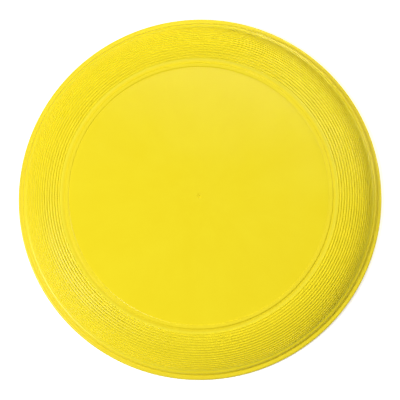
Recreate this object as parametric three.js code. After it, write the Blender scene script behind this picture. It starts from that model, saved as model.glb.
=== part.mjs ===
// A flying disc for lawn games: one closed, dish-shaped moulding in solid-coloured polypropylene.
// A body of revolution about +Z, in millimetres. The origin is the centre of the disc on the plane
// its rim rests on, so z = 0 is the flat foot of the rim and the top face looks along +Z.
//
// From the spin axis outwards the top side has
//   a gate dimple      - the small pit where the plastic entered the mould
//   a centre plate     - a flat face, the usual place for a print or label
//   a border bead      - a low flat-topped ring that frames the plate
//   a plain annulus    - flat, a little below the plate
//   a ridged shoulder  - concentric ridges at a constant pitch, first flat and then round an arc
//   a ledge            - a narrow sloping step that ends the shoulder
//   a skirt wall       - a short steep wall below the ledge
//   a lip              - the flat-topped flange round the foot of the rim
// The underside follows it at the wall thickness, with a thicker rim for spin mass.
import * as THREE from "three";

// ---- dimensions: _R is a radius, _Z a height above the foot; tables list [radius, z] ----
const OUTER_R = 105; // edge of the lip
const HEIGHT = 20; // top of the border bead
const SEGMENTS = 72; // facets round the disc

const PLATE_Z = 19.62; // top face of the centre plate
const DIMPLE_R = 1.1;
const DIMPLE_FLOOR_R = DIMPLE_R * 0.45;
const DIMPLE_DEPTH = 0.35;

const BEAD_IN_R = 74.96; // foot of the bead's inner flank
const BEAD_TOP_IN_R = 75.4;
const BEAD_TOP_OUT_R = 76.98;
const BEAD_OUT_R = 77.56; // foot of the bead's outer flank
const ANNULUS_Z = 19.3;

const ARC_START_R = 81.8; // where the shoulder starts to turn down
const ARC_R = 20.15; // radius of the shoulder arc, outside
const ARC_CENTRE_Z = ANNULUS_Z - ARC_R;
const ARC_LENGTH = 23.52; // along the outside, from the arc's start to the ledge

const RIDGES = 17;
const RIDGE_PITCH = 1.508; // along the surface
const RIDGE_FIRST = -1.36; // innermost crest, along the surface from ARC_START_R
const RIDGE_HEIGHT = 0.7; // crest above groove floor, along the axis
const GROOVE_DEPTH = 0.29; // groove floor below the plain surface, along the axis
const CREST_LIFT = RIDGE_HEIGHT - GROOVE_DEPTH; // crest above the plain surface

const LEDGE = [
  [100.62, 6.86],
  [101.1, 6.68],
  [101.6, 6.42],
  [101.84, 5.92],
];

// Foot of the skirt wall, then the tight fillet into the lip.
const SKIRT_FOOT = [
  [102.44, 3.98],
  [102.62, 3.82],
];

// Flat top, rounded upper edge, upright outer face, rounded lower edge.
const LIP = [
  [104.3, 3.76],
  [104.82, 3.46],
  [OUTER_R, 2.9],
  [OUTER_R, 0.9],
  [104.75, 0.25],
  [104.3, 0],
];

// Inside of the rim, from the inner edge of the flat foot upwards.
const RIM_INSIDE = [
  [99.7, 0],
  [99.25, 0.35],
  [99.05, 0.9],
  [98.75, 7],
];

const WALL = 1.65; // thickness under the plain shoulder surface
const UNDERSIDE_Z = ANNULUS_Z - WALL; // flat underside of the plate and annulus
const INNER_ARC_ANGLE = THREE.MathUtils.degToRad(63);
const INNER_ARC_STEPS = 9;

// ---- profile ----

// Point on an arc about the shoulder's centre, at an angle measured outwards from +Z.
function arcPoint(radius, angle) {
  return [ARC_START_R + radius * Math.sin(angle), ARC_CENTRE_Z + radius * Math.cos(angle)];
}

// Point at a distance along the plain shoulder surface, raised by lift. The lift runs along the
// axis, the way the mould opens, so no groove flank is undercut.
function shoulderPoint(distance, lift) {
  if (distance <= 0) return [ARC_START_R + distance, ANNULUS_Z + lift];
  const [radius, z] = arcPoint(ARC_R, distance / ARC_R);
  return [radius, z + lift];
}

function centreProfile() {
  return [
    [0, PLATE_Z - DIMPLE_DEPTH],
    [DIMPLE_FLOOR_R, PLATE_Z - DIMPLE_DEPTH],
    [DIMPLE_R, PLATE_Z],
    [BEAD_IN_R, PLATE_Z],
    [BEAD_TOP_IN_R, HEIGHT],
    [BEAD_TOP_OUT_R, HEIGHT],
    [BEAD_OUT_R, ANNULUS_Z],
  ];
}

function shoulderProfile() {
  const points = [shoulderPoint(RIDGE_FIRST - RIDGE_PITCH / 2, 0)];
  for (let i = 0; i < RIDGES - 1; i++) {
    const crest = RIDGE_FIRST + i * RIDGE_PITCH;
    points.push(shoulderPoint(crest, CREST_LIFT));
    points.push(shoulderPoint(crest + RIDGE_PITCH / 2, -GROOVE_DEPTH));
  }
  // The last ridge is half as high and fades into the ledge.
  points.push(shoulderPoint(RIDGE_FIRST + (RIDGES - 1) * RIDGE_PITCH, CREST_LIFT / 2));
  points.push(shoulderPoint(ARC_LENGTH, 0));
  return points;
}

// From the rim up round the inner arc, then flat to the axis.
function undersideProfile() {
  const points = [...RIM_INSIDE];
  for (let i = 0; i <= INNER_ARC_STEPS; i++) {
    points.push(arcPoint(ARC_R - WALL, INNER_ARC_ANGLE * (1 - i / INNER_ARC_STEPS)));
  }
  points.push([0, UNDERSIDE_Z]);
  return points;
}

// ---- disc ----
function discGeometry() {
  const profile = [
    ...centreProfile(),
    ...shoulderProfile(),
    ...LEDGE,
    ...SKIRT_FOOT,
    ...LIP,
    ...undersideProfile(),
  ].map(([radius, z]) => new THREE.Vector2(radius, z));

  // Listed from the top centre outwards the faces would point inwards, so the profile is reversed.
  const geometry = new THREE.LatheGeometry(profile.reverse(), SEGMENTS);
  // The lathe turns about Y; this stands its axis along +Z.
  return geometry.rotateX(Math.PI / 2);
}

const polypropylene = new THREE.MeshStandardMaterial({
  color: new THREE.Color(0.89, 0.725, 0.02), // warm yellow
  roughness: 0.3,
  metalness: 0,
});

const disc = new THREE.Mesh(discGeometry(), polypropylene);
disc.name = "disc_moulding";

const object = new THREE.Group();
object.add(disc);

export default object;
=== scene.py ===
"""A yellow flying disc for lawn games on a plain pale floor.

The disc lies open side down with its axis on Z and its lip on z = 0. The section is drawn in
millimetres as (radius, height) and turned about Z. Materials, lights and camera use metres.
"""

import math
import bpy
from mathutils import Matrix, Vector


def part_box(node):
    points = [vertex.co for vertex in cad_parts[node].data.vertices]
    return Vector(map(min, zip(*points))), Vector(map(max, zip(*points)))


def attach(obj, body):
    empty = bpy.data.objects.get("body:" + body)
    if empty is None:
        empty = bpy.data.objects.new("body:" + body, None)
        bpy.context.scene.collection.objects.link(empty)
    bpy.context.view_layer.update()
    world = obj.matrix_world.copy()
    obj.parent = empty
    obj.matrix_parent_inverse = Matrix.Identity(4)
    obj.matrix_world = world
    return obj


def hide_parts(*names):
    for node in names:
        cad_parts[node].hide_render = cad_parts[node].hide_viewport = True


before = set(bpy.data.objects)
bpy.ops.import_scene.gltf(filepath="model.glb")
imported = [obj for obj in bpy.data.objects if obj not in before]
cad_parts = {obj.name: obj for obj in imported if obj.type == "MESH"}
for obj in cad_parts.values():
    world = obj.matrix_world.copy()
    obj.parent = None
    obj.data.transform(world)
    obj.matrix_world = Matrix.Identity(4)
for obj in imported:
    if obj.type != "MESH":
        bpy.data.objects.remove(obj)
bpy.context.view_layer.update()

MM = 0.001

# ---- dimensions, in mm -------------------------------------------------------------------------
PART = "disc_moulding"
_, part_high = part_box(PART)
OUTER_R = part_high.x / MM  # edge of the lip
TOP_Z = part_high.z / MM  # top of the border bead
SEGMENTS = 256  # around the axis

PLATE_Z = TOP_Z - 0.38  # flat plate inside the bead
ANNULUS_Z = TOP_Z - 0.70  # plain ring outside the bead
WALL = 1.65
UNDER_Z = ANNULUS_Z - WALL

# The shoulder is an arc that leaves the annulus level and curves down to the rim.
ARC_START_R = 81.8
ARC_R = 20.15
ARC_Z = ANNULUS_Z - ARC_R
UNDER_ARC_ANGLE = math.radians(62)
UNDER_ARC_STEPS = 18

# Ridges are spaced by distance along the surface from the arc's start.
RIDGES = 17
RIDGE_PITCH = 1.508
RIDGE_FIRST = -1.36  # crest of the first ridge
RIDGE_HEIGHT = 0.70  # crest above groove floor, along the axis
RIDGE_SINK = 0.29  # groove floor below the plain surface
RIDGE_STEPS = 12  # steps over one ridge


# ---- section -----------------------------------------------------------------------------------
def rounded(corners, arc_step=0.12, turn_step=0.35):
    """Polyline through corners (radius, height, fillet), with an arc at each filleted corner.

    Arc points are at most arc_step mm and turn_step radians apart.
    """
    points = []
    last = len(corners) - 1
    for i, (r, z, fillet) in enumerate(corners):
        if i in (0, last) or fillet <= 0:
            points.append((r, z))
            continue
        corner = Vector((r, z))
        before = Vector(corners[i - 1][:2]) - corner
        after = Vector(corners[i + 1][:2]) - corner
        shorter = min(before.length, after.length)
        before.normalize()
        after.normalize()
        turn = math.pi - before.angle(after)
        if turn < 1e-3:  # nearly straight, so there is nothing to round
            points.append((r, z))
            continue
        cut = fillet * math.tan(turn / 2)
        limit = 0.48 * shorter  # leaves room for the neighbouring fillets
        if cut > limit:
            cut = limit
            fillet = limit / math.tan(turn / 2)
        centre = corner + (before + after).normalized() * (fillet / math.cos(turn / 2))
        start = corner + before * cut - centre
        end = corner + after * cut - centre
        steps = max(2, math.ceil(fillet * turn / arc_step), math.ceil(turn / turn_step))
        sweep = math.atan2(start.x * end.y - start.y * end.x, start.x * end.x + start.y * end.y)
        for k in range(steps + 1):
            angle = sweep * k / steps
            c, s = math.cos(angle), math.sin(angle)
            points.append(
                (centre.x + start.x * c - start.y * s, centre.y + start.x * s + start.y * c)
            )
    return points


def arc_point(radius, angle):
    """Point on an arc about the shoulder's centre, with the angle measured from straight up."""
    return (ARC_START_R + radius * math.sin(angle), ARC_Z + radius * math.cos(angle))


def shoulder(along):
    """Point of the plain surface at a distance from the arc's start; negative is inwards."""
    if along <= 0:
        return (ARC_START_R + along, ANNULUS_Z)
    return arc_point(ARC_R, along / ARC_R)


def ridge_height(along):
    """Height of the ridged surface over the plain one, measured along the axis."""
    phase = 2 * math.pi * (along - RIDGE_FIRST) / RIDGE_PITCH
    return RIDGE_HEIGHT * (0.5 + 0.5 * math.cos(phase)) ** 2 - RIDGE_SINK


def smooth(x):
    x = min(1.0, max(0.0, x))
    return x * x * (3 - 2 * x)


def top_section():
    """From the top centre to the annulus."""
    return rounded([
        # radius, height, fillet
        # round pip in a small dimple
        (0.0, PLATE_Z - 0.06, 0),
        (0.42, PLATE_Z - 0.06, 0.10),
        (0.55, PLATE_Z - 0.27, 0.08),
        (0.85, PLATE_Z - 0.27, 0.10),
        (1.35, PLATE_Z, 0.35),
        # plate
        (12.0, PLATE_Z, 0),
        (30.0, PLATE_Z, 0),
        (50.0, PLATE_Z, 0),
        (66.0, PLATE_Z, 0),
        # border bead
        (74.96, PLATE_Z, 0.22),
        (75.40, TOP_Z, 0.22),
        (76.98, TOP_Z, 0.25),
        (77.56, ANNULUS_Z, 0.28),
        (78.6, ANNULUS_Z, 0),
    ])


def ridged_section():
    """Ridges over the annulus and the shoulder."""
    start = RIDGE_FIRST - RIDGE_PITCH / 2
    end = RIDGE_FIRST + (RIDGES - 0.5) * RIDGE_PITCH
    steps = RIDGES * RIDGE_STEPS
    points = []
    for i in range(steps + 1):
        along = start + (end - start) * i / steps
        height = ridge_height(along)
        if along < RIDGE_FIRST:  # the first ridge rises from the plain annulus
            height = max(height, 0.0)
        fade = smooth((end - along) / RIDGE_PITCH)  # the last ridge runs out into the rim
        r, z = shoulder(along)
        points.append((r, z + height * fade))
    return points


def rim_section(start):
    """From the last ridge down the outside, round the lip and up the inner wall."""
    points = rounded([
        # radius, height, fillet
        (*start, 0),
        (100.62, 6.86, 0.25),
        (101.10, 6.68, 0.60),
        (101.60, 6.42, 0.35),
        (101.84, 5.92, 0.35),
        (102.44, 3.98, 0.15),
        (102.62, 3.82, 0.10),
        # lip, with a fine raised line at its widest
        (104.30, 3.76, 0.60),
        (104.82, 3.46, 0.32),
        (104.95, 2.90, 0.30),
        (104.96, 1.90, 0.10),
        (OUTER_R, 1.82, 0.04),
        (OUTER_R, 1.74, 0.04),
        (104.96, 1.66, 0.10),
        (104.92, 0.70, 0.50),
        (104.62, 0.22, 0.30),
        (104.20, 0.0, 0.25),
        # inner wall
        (99.85, 0.0, 0.25),
        (99.35, 0.35, 0.40),
        (99.12, 1.0, 0.5),
        (98.85, 6.4, 1.2),
        (98.38, 7.62, 0),
    ])
    return points[1:]  # the start is already the last point of the ridges


def under_section():
    """Below the shoulder and the plate, back to the axis."""
    arc = [
        arc_point(ARC_R - WALL, UNDER_ARC_ANGLE * (1 - i / UNDER_ARC_STEPS))
        for i in range(1, UNDER_ARC_STEPS + 1)
    ]
    groove_z = UNDER_Z + 0.07
    flat = rounded([
        # radius, height, fillet
        (78.0, UNDER_Z, 0),
        (60.0, UNDER_Z, 0),
        (40.0, UNDER_Z, 0),
        # shallow ring groove
        (15.30, UNDER_Z, 0.12),
        (15.18, groove_z, 0.05),
        (15.02, groove_z, 0.05),
        (14.90, UNDER_Z, 0.12),
        (6.0, UNDER_Z, 0),
        (0.0, UNDER_Z, 0),
    ])
    return arc + flat


def full_section():
    ridges = ridged_section()
    return top_section() + ridges + rim_section(ridges[-1]) + under_section()


def clean(points, least=0.015, hold=0.07, long=1.3):
    """Drop points closer than least, and add one at hold from each end of every straight
    over long, so that shading stays flat along it."""
    kept = [points[0]]
    for point in points[1:-1]:
        if math.dist(point, kept[-1]) > least:
            kept.append(point)
    kept.append(points[-1])
    held = [kept[0]]
    for a, b in zip(kept, kept[1:]):
        length = math.dist(a, b)
        if length > long:
            for t in (hold / length, 1 - hold / length):
                held.append((a[0] + (b[0] - a[0]) * t, a[1] + (b[1] - a[1]) * t))
        held.append(b)
    return held


def revolve(name, points, segments):
    """Closed mesh of revolution about Z. The first and last points lie on the axis."""
    rings = [point for point in points if point[0] > 1e-6]
    verts = [(0, 0, points[0][1] * MM)]
    for r, z in rings:
        for k in range(segments):
            angle = 2 * math.pi * k / segments
            verts.append((r * MM * math.cos(angle), r * MM * math.sin(angle), z * MM))
    verts.append((0, 0, points[-1][1] * MM))

    # each ring's first vertex
    starts = [1 + i * segments for i in range(len(rings))]
    bottom = len(verts) - 1
    faces = []
    for k in range(segments):
        k2 = (k + 1) % segments
        faces.append((0, starts[0] + k, starts[0] + k2))
        faces.append((bottom, starts[-1] + k2, starts[-1] + k))
    for a, b in zip(starts, starts[1:]):
        for k in range(segments):
            k2 = (k + 1) % segments
            faces.append((a + k, b + k, b + k2, a + k2))

    mesh = bpy.data.meshes.new(name)
    mesh.from_pydata(verts, [], faces)
    mesh.validate()
    for face in mesh.polygons:
        face.use_smooth = True
    obj = bpy.data.objects.new(name, mesh)
    bpy.context.scene.collection.objects.link(obj)
    return obj


# ---- materials ---------------------------------------------------------------------------------
class Nodes:
    """Short calls for building a node tree. Values may be numbers or sockets."""

    def __init__(self, tree):
        self.tree = tree

    def node(self, kind, **values):
        node = self.tree.nodes.new(kind)
        for key, value in values.items():
            setattr(node, key, value)
        return node

    def put(self, socket, value):
        if isinstance(value, bpy.types.NodeSocket):
            self.tree.links.new(value, socket)
        else:
            socket.default_value = value

    def math(self, operation, a, b=0.0, clamp=False):
        node = self.node("ShaderNodeMath", operation=operation, use_clamp=clamp)
        for socket, value in zip(node.inputs, (a, b, 0.0)):
            self.put(socket, value)
        return node.outputs[0]

    def add(self, a, b, clamp=False):
        return self.math("ADD", a, b, clamp)

    def sub(self, a, b):
        return self.math("SUBTRACT", a, b)

    def mul(self, a, b):
        return self.math("MULTIPLY", a, b)

    def swing(self, x, amount):
        """A 0 to 1 value recentred on zero and scaled."""
        return self.mul(self.sub(x, 0.5), amount)

    def split(self, vector):
        node = self.node("ShaderNodeSeparateXYZ")
        self.put(node.inputs[0], vector)
        return node.outputs

    def radius(self, x, y):
        return self.math("SQRT", self.add(self.mul(x, x), self.mul(y, y)))

    def ramp(self, x, low, high, to_low=0.0, to_high=1.0, kind="SMOOTHSTEP"):
        node = self.node("ShaderNodeMapRange", interpolation_type=kind)
        for i, value in enumerate((x, low, high, to_low, to_high)):
            self.put(node.inputs[i], value)
        return node.outputs[0]

    def noise(self, vector, scale, detail=2.0, rough=0.5, distortion=0.0):
        node = self.node("ShaderNodeTexNoise")
        self.put(node.inputs["Vector"], vector)
        node.inputs["Scale"].default_value = scale
        node.inputs["Detail"].default_value = detail
        node.inputs["Roughness"].default_value = rough
        node.inputs["Distortion"].default_value = distortion
        return node.outputs["Fac"]

    def mix(self, factor, a, b):
        node = self.node("ShaderNodeMix", data_type="RGBA", blend_type="MIX")
        # inputs 6 and 7 are the colours A and B
        for i, value in ((0, factor), (6, a), (7, b)):
            self.put(node.inputs[i], value)
        return node.outputs[2]


def new_material(name):
    """Empty material, its node calls and the surface socket of its output."""
    material = bpy.data.materials.new(name)
    material.use_nodes = True
    material.node_tree.nodes.clear()
    g = Nodes(material.node_tree)
    return material, g, g.node("ShaderNodeOutputMaterial").inputs["Surface"]


def polypropylene():
    deep = (0.865, 0.682, 0.014, 1)
    light = (0.915, 0.762, 0.023, 1)
    # painted light correction: a greener yellow that offsets the orange of light bounced in the
    # ridge grooves
    ridge_bounce_offset = (0.89, 0.77, 0.022, 1)
    scuffed = (0.93, 0.82, 0.20, 1)

    material, g, surface = new_material("yellow_polypropylene")
    shader = g.node("ShaderNodeBsdfPrincipled")
    g.put(surface, shader.outputs[0])
    coord = g.node("ShaderNodeTexCoord").outputs["Object"]
    x, y, z = g.split(coord)
    r = g.radius(x, y)

    # masks by place
    upper = g.ramp(z, low=0.0186, high=0.0190)  # near the plate's level
    plate = g.mul(g.ramp(r, low=0.0745, high=0.0748, to_low=1.0, to_high=0.0), upper)
    # plate, bead and annulus
    centre = g.mul(g.ramp(r, low=0.0785, high=0.0790, to_low=1.0, to_high=0.0), upper)
    ridged = g.mul(
        g.ramp(r, low=0.0784, high=0.0792),
        g.ramp(r, low=0.1004, high=0.1008, to_low=1.0, to_high=0.0),
    )

    # colour: solid pigment with faint streaks out from the centre, a mottle and a fine speck
    direction = g.node("ShaderNodeVectorMath", operation="NORMALIZE")
    g.put(direction.inputs[0], coord)
    flow = g.noise(direction.outputs[0], scale=5.0, detail=3.0, rough=0.6)
    mottle = g.noise(coord, scale=55.0, detail=4.0, rough=0.55)
    speck = g.noise(coord, scale=900.0)
    fine = g.add(g.swing(mottle, amount=0.4), g.swing(speck, amount=0.1))
    tone = g.add(g.swing(flow, amount=0.5), fine)
    tone = g.ramp(tone, low=-0.5, high=0.5, kind="LINEAR")
    base = g.mix(tone, deep, light)
    # a greener tint is painted over the ridged band to offset the orange of light bounced in its
    # grooves: a painted light correction, not a colour of the plastic
    ridge_bounce_offset_share = 0.6
    base = g.mix(g.mul(ridged, ridge_bounce_offset_share), base, ridge_bounce_offset)

    # wear: paler, rougher patches on the lip's edge
    scuffs = g.noise(coord, scale=240.0, detail=5.0, rough=0.7, distortion=0.4)
    edge = g.mul(g.ramp(r, low=0.1043, high=0.1049), g.ramp(scuffs, low=0.56, high=0.72))
    wear_paleness, wear_roughness = 0.35, 0.15
    g.put(shader.inputs["Base Color"], g.mix(g.mul(edge, wear_paleness), base, scuffed))

    # roughness: a polished plate, plainer ridges and rim, with handling marks
    plain_roughness, plate_polish = 0.30, -0.19
    handling = g.noise(coord, scale=28.0, detail=5.0, rough=0.6, distortion=0.3)
    marked = g.add(plain_roughness, g.swing(handling, amount=0.16))
    rough = g.add(g.mul(plate, plate_polish), marked)
    rough = g.add(rough, g.mul(edge, wear_roughness), clamp=True)
    g.put(shader.inputs["Roughness"], rough)
    shader.inputs["IOR"].default_value = 1.49
    specular, centre_loss = 0.36, 0.18  # the centre reflects less
    g.put(shader.inputs["Specular IOR Level"], g.sub(specular, g.mul(centre, centre_loss)))

    # bump: eroded texture on the plate, a trace of the same everywhere else
    trace, plate_gain, grain_share = 0.06, 0.94, 0.7
    erosion = g.noise(coord, scale=4200.0)
    grain = g.noise(coord, scale=1300.0)
    texture = g.add(erosion, g.mul(grain, grain_share))
    bump = g.node("ShaderNodeBump")
    bump.inputs["Strength"].default_value = 0.20
    bump.inputs["Distance"].default_value = 0.00002
    g.put(bump.inputs["Height"], g.mul(texture, g.add(trace, g.mul(plate, plate_gain))))
    g.put(shader.inputs["Normal"], bump.outputs[0])
    return material


def pale_floor_material():
    """Matte, with a glow that only the camera sees: like a lit acrylic table."""
    glow_above = 0.6  # seen from above
    glow_side = 0.05  # seen from the side, where the disc's shadow should show
    glow_far = 0.95  # far from the disc

    material, g, surface = new_material("pale_floor")
    matte = g.node("ShaderNodeBsdfDiffuse")
    matte.inputs["Color"].default_value = (0.93, 0.93, 0.93, 1)
    glow = g.node("ShaderNodeEmission")
    glow.inputs["Color"].default_value = (1, 1, 1, 1)
    x, y, _ = g.split(g.node("ShaderNodeTexCoord").outputs["Object"])
    _, _, view_z = g.split(g.node("ShaderNodeNewGeometry").outputs["Incoming"])
    near = g.ramp(view_z, low=0.5, high=0.95, to_low=glow_side, to_high=glow_above)
    far = g.ramp(g.radius(x, y), low=0.3, high=1.5)
    g.put(glow.inputs["Strength"], g.add(near, g.mul(far, g.sub(glow_far, near))))

    both = g.node("ShaderNodeAddShader")
    g.put(both.inputs[0], matte.outputs[0])
    g.put(both.inputs[1], glow.outputs[0])
    pick = g.node("ShaderNodeMixShader")
    g.put(pick.inputs[0], g.node("ShaderNodeLightPath").outputs["Is Camera Ray"])
    g.put(pick.inputs[1], matte.outputs[0])
    g.put(pick.inputs[2], both.outputs[0])
    g.put(surface, pick.outputs[0])
    return material


# ---- disc --------------------------------------------------------------------------------------
disc = revolve("disc_moulding_surface", clean(full_section()), SEGMENTS)
disc.data.materials.append(polypropylene())
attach(disc, "root")
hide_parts(PART)


# ---- floor, room, lights and camera ------------------------------------------------------------
scene = bpy.context.scene


def add_floor(half=60.0, drop=0.0001):
    """Square floor, a hair below the lip."""
    mesh = bpy.data.meshes.new("studio_floor")
    corners = [(-half, -half, 0), (half, -half, 0), (half, half, 0), (-half, half, 0)]
    mesh.from_pydata(corners, [], [(0, 1, 2, 3)])
    floor = bpy.data.objects.new("studio_floor", mesh)
    floor.location = (0, 0, -drop)
    scene.collection.objects.link(floor)
    mesh.materials.append(pale_floor_material())


def add_room():
    """White to the camera, pale along the horizon to reflections, and dim to the rest."""
    camera_level, horizon_level, dim_level = 0.95, 0.5, 0.04
    world = bpy.data.worlds.new("studio")
    world.use_nodes = True
    g = Nodes(world.node_tree)
    background = world.node_tree.nodes["Background"]
    background.inputs["Color"].default_value = (1, 1, 1, 1)
    ray = g.node("ShaderNodeLightPath").outputs
    _, _, sky_z = g.split(g.node("ShaderNodeTexCoord").outputs["Generated"])
    band = g.ramp(sky_z, low=0.04, high=0.22, to_low=horizon_level, to_high=0.0)
    horizon = g.mul(ray["Is Glossy Ray"], band)
    room = g.add(g.mul(ray["Is Camera Ray"], camera_level), horizon)
    g.put(background.inputs["Strength"], g.add(room, dim_level))
    scene.world = world
    # a dim, even room needs no light samples of its own
    world.cycles.sampling_method = "NONE"


def soft_light(name, azimuth, elevation, width, depth, watts, distance=1.6):
    """Area light aimed at the disc. Azimuth is counter-clockwise from +X, seen from above."""
    a, e = math.radians(azimuth), math.radians(elevation)
    outward = Vector((math.cos(a) * math.cos(e), math.sin(a) * math.cos(e), math.sin(e)))
    data = bpy.data.lights.new(name, "AREA")
    data.shape = "RECTANGLE"
    data.size = width
    data.size_y = depth
    data.energy = watts
    light = bpy.data.objects.new(name, data)
    light.location = outward * distance
    light.rotation_mode = "QUATERNION"
    light.rotation_quaternion = outward.to_track_quat("Z", "Y")
    light.visible_camera = False
    scene.collection.objects.link(light)


def add_camera(tilt=7.3, azimuth=-74.2, distance=4.0):
    """Long lens almost straight above: tilt from +Z in degrees, +Y near the top of the view."""
    t, a = math.radians(tilt), math.radians(azimuth)
    back = Vector((math.cos(a) * math.sin(t), math.sin(a) * math.sin(t), math.cos(t)))
    right = Vector((0, 1, 0)).cross(back).normalized()
    up = back.cross(right)
    aim = Vector((0.00004, -0.0003, 0.0014))
    data = bpy.data.cameras.new("camera")
    data.sensor_width = 36.0
    data.lens = 622.6
    data.clip_start = 0.05
    data.clip_end = 60
    camera = bpy.data.objects.new("camera", data)
    scene.collection.objects.link(camera)
    rotation = Matrix((right, up, back)).transposed().to_4x4()
    camera.matrix_world = Matrix.Translation(aim + back * distance) @ rotation
    scene.camera = camera


add_floor()
add_room()
for light_row in (
    # name, azimuth, elevation, width, depth, watts
    ("key", 200, 56, 0.6, 0.6, 23.8),
    ("low_right", 20, 15, 0.6, 0.6, 8.0),
    ("low_back", 65, 15, 0.6, 0.6, 10.8),
    ("strip", 77.5, 77.6, 0.5, 0.16, 1.3),
):
    soft_light(*light_row)
add_camera()
scene.view_settings.view_transform = "Standard"
scene.view_settings.look = "None"
